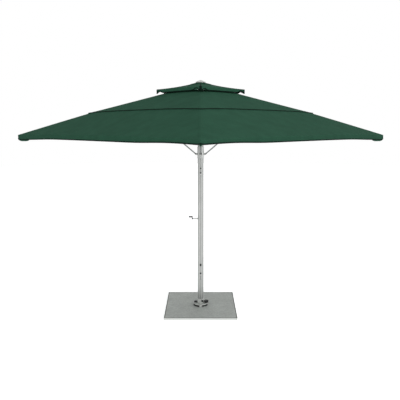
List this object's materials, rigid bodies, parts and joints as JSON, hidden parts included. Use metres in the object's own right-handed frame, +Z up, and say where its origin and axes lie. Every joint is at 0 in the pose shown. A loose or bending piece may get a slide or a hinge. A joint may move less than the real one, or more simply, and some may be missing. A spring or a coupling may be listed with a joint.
{
  "type": "patio umbrella",
  "caption": "Square vented patio umbrella on a straight fluted mast, with a crank-raised runner, hinged ribs and struts, and a flat steel plate base.",
  "frame": {"origin": "centre of the base plate's underside, on the mast's axis", "axes": "+Z up the mast; canopy corners over +X, +Y, -X and -Y; the base plate's sides run along X and Y; the crank is on -X and the mast's pin holes face -Y"},
  "size_m": [4.95, 4.95, 3.153],
  "materials": {
    "galvanised_steel": "zinc coated, matt",
    "ballast_iron": "rough",
    "gasket_rubber": "matt",
    "stainless_steel": "satin",
    "steel_cable": "stranded",
    "black_plastic": "fine texture",
    "black_bolt": "satin",
    "mast_aluminium": "anodised satin",
    "rib_aluminium": "anodised satin",
    "cast_aluminium": "cast, blasted",
    "white_nylon": "smooth",
    "canopy_cloth": "plain weave, matt"
  },
  "bodies": {
    "mast": {"base_plate": "galvanised_steel", "ballast_bars": "ballast_iron", "foot_gasket": "gasket_rubber", "foot_flange": "galvanised_steel", "foot_studs": "stainless_steel", "foot_collar": "cast_aluminium", "mast_lower": "mast_aluminium", "mast_upper": "mast_aluminium", "mast_joiner": "mast_aluminium", "mast_rivet": "stainless_steel", "hole_plugs": "black_plastic", "joint_bolts": "black_bolt", "button_spring": "stainless_steel", "winch_frame": "cast_aluminium", "crank_bush": "cast_aluminium", "lift_cable": "steel_cable", "cable_fall": "steel_cable", "hub": "cast_aluminium", "hub_pins": "stainless_steel", "sheave_axle": "stainless_steel", "top_cap": "white_nylon", "cap_stud": "stainless_steel", "vent_crown": "canopy_cloth"},
    "runner": {"runner_collar": "mast_aluminium", "runner_bush": "white_nylon", "runner_bolts": "black_bolt", "lift_slug": "cast_aluminium"},
    "crank": {"crank_shaft": "stainless_steel", "winch_drum": "black_plastic", "crank_arm": "black_bolt"},
    "crank_grip": {"crank_grip": "black_plastic"},
    "top_sheave": {"top_sheave": "white_nylon"},
    "left_knob": {"left_knob": "black_plastic"},
    "right_lever": {"right_lever": "black_plastic"},
    "clamp_screw": {"clamp_screw": "black_plastic"},
    "release_button": {"release_button": "black_plastic"},
    "rib_right": {"rib_right": "rib_aluminium", "rib_fittings_right": "cast_aluminium", "canopy_right": "canopy_cloth", "vent_canopy_right": "canopy_cloth", "corner_pocket_right": "canopy_cloth"},
    "strut_right": {"strut_right": "rib_aluminium"},
    "rib_back": {"rib_back": "rib_aluminium", "rib_fittings_back": "cast_aluminium", "canopy_back": "canopy_cloth", "vent_canopy_back": "canopy_cloth", "corner_pocket_back": "canopy_cloth"},
    "strut_back": {"strut_back": "rib_aluminium"},
    "rib_left": {"rib_left": "rib_aluminium", "rib_fittings_left": "cast_aluminium", "canopy_left": "canopy_cloth", "vent_canopy_left": "canopy_cloth", "corner_pocket_left": "canopy_cloth"},
    "strut_left": {"strut_left": "rib_aluminium"},
    "rib_front": {"rib_front": "rib_aluminium", "rib_fittings_front": "cast_aluminium", "canopy_front": "canopy_cloth", "vent_canopy_front": "canopy_cloth", "corner_pocket_front": "canopy_cloth"},
    "strut_front": {"strut_front": "rib_aluminium"}
  },
  "joints": [
    {"name": "runner_slide", "type": "slide", "parent": "mast", "child": "runner", "axis": [0, 0, -1], "range_m": [0, 0.811], "deforming": ["cable_fall"]},
    {"name": "rib_hinge_right", "type": "hinge", "parent": "mast", "child": "rib_right", "pos_m": [0.055, 0, 3.09], "axis": [0, 1, 0], "range_deg": [0, 55.3], "deforming": ["canopy_right", "vent_canopy_right"]},
    {"name": "strut_hinge_right", "type": "hinge", "parent": "rib_right", "child": "strut_right", "pos_m": [0.8, 0, 2.795], "axis": [0, 1, 0], "range_deg": [-94.8, 0]},
    {"name": "rib_hinge_back", "type": "hinge", "parent": "mast", "child": "rib_back", "pos_m": [0, 0.055, 3.09], "axis": [-1, 0, 0], "range_deg": [0, 55.3], "deforming": ["canopy_back", "vent_canopy_back"]},
    {"name": "strut_hinge_back", "type": "hinge", "parent": "rib_back", "child": "strut_back", "pos_m": [0, 0.8, 2.795], "axis": [-1, 0, 0], "range_deg": [-94.8, 0]},
    {"name": "rib_hinge_left", "type": "hinge", "parent": "mast", "child": "rib_left", "pos_m": [-0.055, 0, 3.09], "axis": [0, -1, 0], "range_deg": [0, 55.3], "deforming": ["canopy_left", "vent_canopy_left"]},
    {"name": "strut_hinge_left", "type": "hinge", "parent": "rib_left", "child": "strut_left", "pos_m": [-0.8, 0, 2.795], "axis": [0, -1, 0], "range_deg": [-94.8, 0]},
    {"name": "rib_hinge_front", "type": "hinge", "parent": "mast", "child": "rib_front", "pos_m": [0, -0.055, 3.09], "axis": [1, 0, 0], "range_deg": [0, 55.3], "deforming": ["canopy_front", "vent_canopy_front"]},
    {"name": "strut_hinge_front", "type": "hinge", "parent": "rib_front", "child": "strut_front", "pos_m": [0, -0.8, 2.795], "axis": [1, 0, 0], "range_deg": [-94.8, 0]},
    {"name": "crank_spin", "type": "hinge", "parent": "mast", "child": "crank", "pos_m": [0, 0, 1.277], "axis": [1, 0, 0], "continuous": true},
    {"name": "sheave_spin", "type": "hinge", "parent": "mast", "child": "top_sheave", "pos_m": [0, 0, 3.006], "axis": [1, 0, 0], "continuous": true},
    {"name": "grip_spin", "type": "hinge", "parent": "crank", "child": "crank_grip", "pos_m": [-0.141, -0.062, 1.315], "axis": [1, 0, 0], "continuous": true},
    {"name": "left_knob_spin", "type": "hinge", "parent": "mast", "child": "left_knob", "pos_m": [-0.07, 0.008, 0.062], "axis": [0, 0, 1], "continuous": true},
    {"name": "right_lever_spin", "type": "hinge", "parent": "mast", "child": "right_lever", "pos_m": [0.08, -0.012, 0.062], "axis": [0, 0, 1], "continuous": true},
    {"name": "clamp_screw_spin", "type": "hinge", "parent": "mast", "child": "clamp_screw", "pos_m": [0.01873, -0.04636, 0.097], "axis": [0.3746, -0.9272, 0], "continuous": true},
    {"name": "button_press", "type": "slide", "parent": "mast", "child": "release_button", "axis": [0, 1, 0], "range_m": [0, 0.004], "stiffness_N_per_m": 1500, "springref_m": -0.002, "deforming": ["button_spring"]}
  ],
  "couplings": [
    {"joint": "rib_hinge_right", "follows": "runner_slide", "rad_per_m": 1.1883},
    {"joint": "strut_hinge_right", "follows": "runner_slide", "rad_per_m": -2.0364},
    {"joint": "rib_hinge_back", "follows": "runner_slide", "rad_per_m": 1.1883},
    {"joint": "strut_hinge_back", "follows": "runner_slide", "rad_per_m": -2.0364},
    {"joint": "rib_hinge_left", "follows": "runner_slide", "rad_per_m": 1.1883},
    {"joint": "strut_hinge_left", "follows": "runner_slide", "rad_per_m": -2.0364},
    {"joint": "rib_hinge_front", "follows": "runner_slide", "rad_per_m": 1.1883},
    {"joint": "strut_hinge_front", "follows": "runner_slide", "rad_per_m": -2.0364},
    {"joint": "crank_spin", "follows": "runner_slide", "rad_per_m": 62.422},
    {"joint": "sheave_spin", "follows": "runner_slide", "rad_per_m": 62.422}
  ]
}
